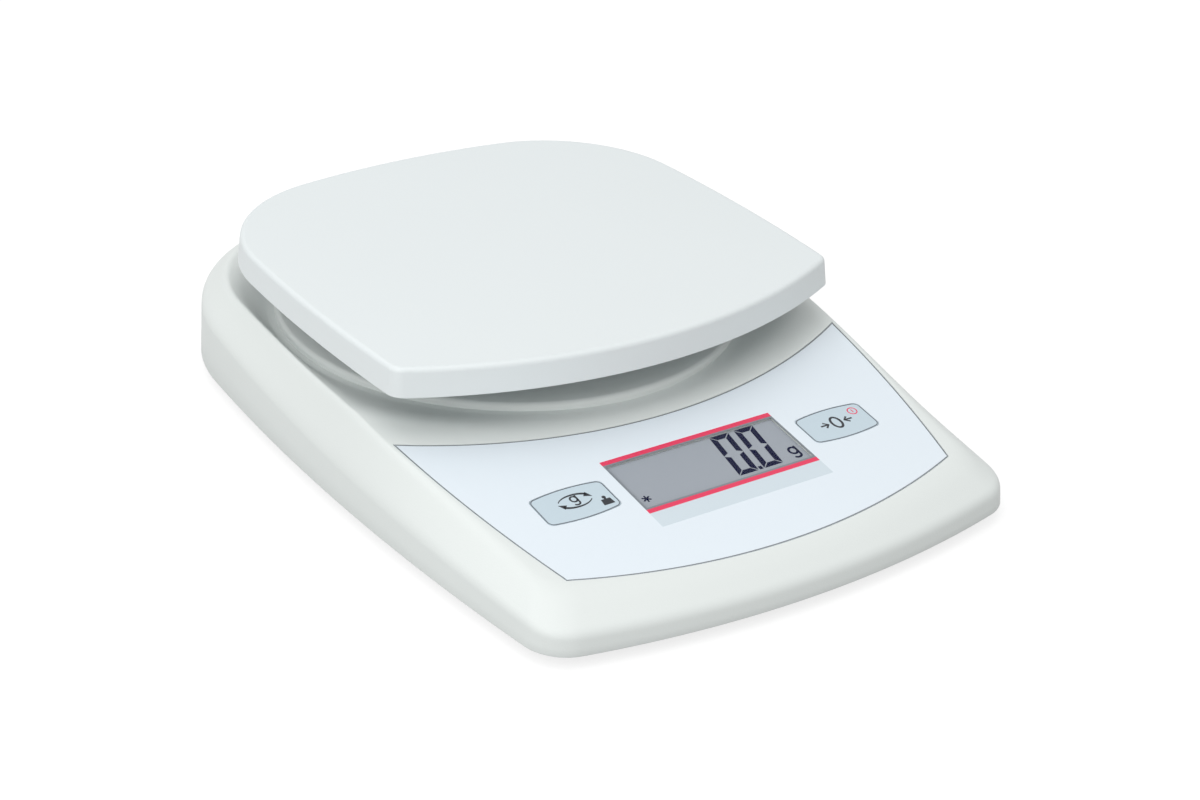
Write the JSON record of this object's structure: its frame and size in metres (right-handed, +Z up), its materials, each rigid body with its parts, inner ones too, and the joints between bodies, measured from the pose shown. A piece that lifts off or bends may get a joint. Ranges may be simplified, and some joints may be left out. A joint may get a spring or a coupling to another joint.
{
  "type": "compact balance",
  "caption": "Portable electronic balance with a sloping display panel, press keys and a lift-off weighing pan on a load cell, run from batteries or a power inlet",
  "frame": {"origin": "on the table, under the middle of the housing", "axes": "+X to the user's right, +Y to the back, +Z up"},
  "size_m": [0.144, 0.2055, 0.0401],
  "materials": {
    "housing": "satin off-white ABS",
    "pan": "satin off-white ABS",
    "overlay": "printed polyester film",
    "window": "clear film",
    "display": "liquid-crystal glass, grey",
    "key": "printed polyester over plastic",
    "frame": "moulded",
    "contact_rubber": "layered conductive rubber",
    "board": "glass-fibre board, green solder mask",
    "chip": "moulded black",
    "can": "plain",
    "switch": "moulded black",
    "socket": "moulded natural nylon",
    "screw": "zinc plated",
    "load_cell": "milled",
    "spacer": "milled",
    "gauge": "polyimide foil",
    "carrier": "stamped sheet",
    "support": "moulded dark grey",
    "pad": "soft",
    "foot": "soft",
    "battery": "plain wrapped can, no markings",
    "contact": "nickel-plated steel",
    "lock": "moulded dark grey",
    "lead": "vinyl insulated",
    "inlet": "moulded black"
  },
  "bodies": {
    "housing": {"top_housing": "housing", "bottom_housing": "housing", "load_cell": "load_cell", "strain_gauges": "gauge", "lower_spacer": "spacer", "load_cell_screws": "screw", "overload_stop": "screw", "control_overlay": "overlay", "display_window": "window", "display_glass": "display", "display_frame": "frame", "contact_strips": "contact_rubber", "main_board": "board", "processor_chip": "chip", "converter_chip": "chip", "crystal": "can", "lead_sockets": "socket", "board_screws": "screw", "unit_switch": "switch", "zero_switch": "switch", "battery_1": "battery", "battery_2": "battery", "battery_3": "battery", "battery_plates": "contact", "battery_springs": "contact", "rubber_foot_1": "foot", "rubber_foot_2": "foot", "rubber_foot_3": "foot", "rubber_foot_4": "foot", "housing_screws": "screw", "power_inlet": "inlet", "inlet_pin": "contact", "cell_lead": "lead", "battery_lead": "lead", "inlet_lead": "lead"},
    "platform": {"pan_carrier": "carrier", "upper_spacer": "spacer", "carrier_screws": "screw", "pan_support": "support", "support_screws": "screw", "pan_pads": "pad"},
    "pan": {"weighing_pan": "pan"},
    "unit_key": {"unit_key": "key"},
    "zero_key": {"zero_key": "key"},
    "battery_door": {"battery_door": "housing"},
    "transport_lock": {"transport_lock": "lock", "lock_clip": "contact"}
  },
  "joints": [
    {"name": "load_deflection", "type": "slide", "parent": "housing", "child": "platform", "axis": [0, 0, -1], "range_m": [0, 0.0003], "stiffness_N_per_m": 20000, "deforming": ["load_cell"]},
    {"name": "pan_lift", "type": "slide", "parent": "platform", "child": "pan", "axis": [0, 0, 1], "range_m": [0, 0.06]},
    {"name": "unit_key_press", "type": "slide", "parent": "housing", "child": "unit_key", "axis": [0, 0.1483, -0.9889], "range_m": [0, 0.0004], "stiffness_N_per_m": 2500},
    {"name": "zero_key_press", "type": "slide", "parent": "housing", "child": "zero_key", "axis": [0, 0.1483, -0.9889], "range_m": [0, 0.0004], "stiffness_N_per_m": 2500},
    {"name": "battery_door_hinge", "type": "hinge", "parent": "housing", "child": "battery_door", "pos_m": [0.0306, -0.00295, 0.003], "axis": [-1, 0, 0], "range_deg": [0, 95]},
    {"name": "transport_lock_turn", "type": "hinge", "parent": "housing", "child": "transport_lock", "pos_m": [-0.024, 0.012, 0.003], "axis": [0, 0, 1], "range_deg": [0, 90]}
  ]
}
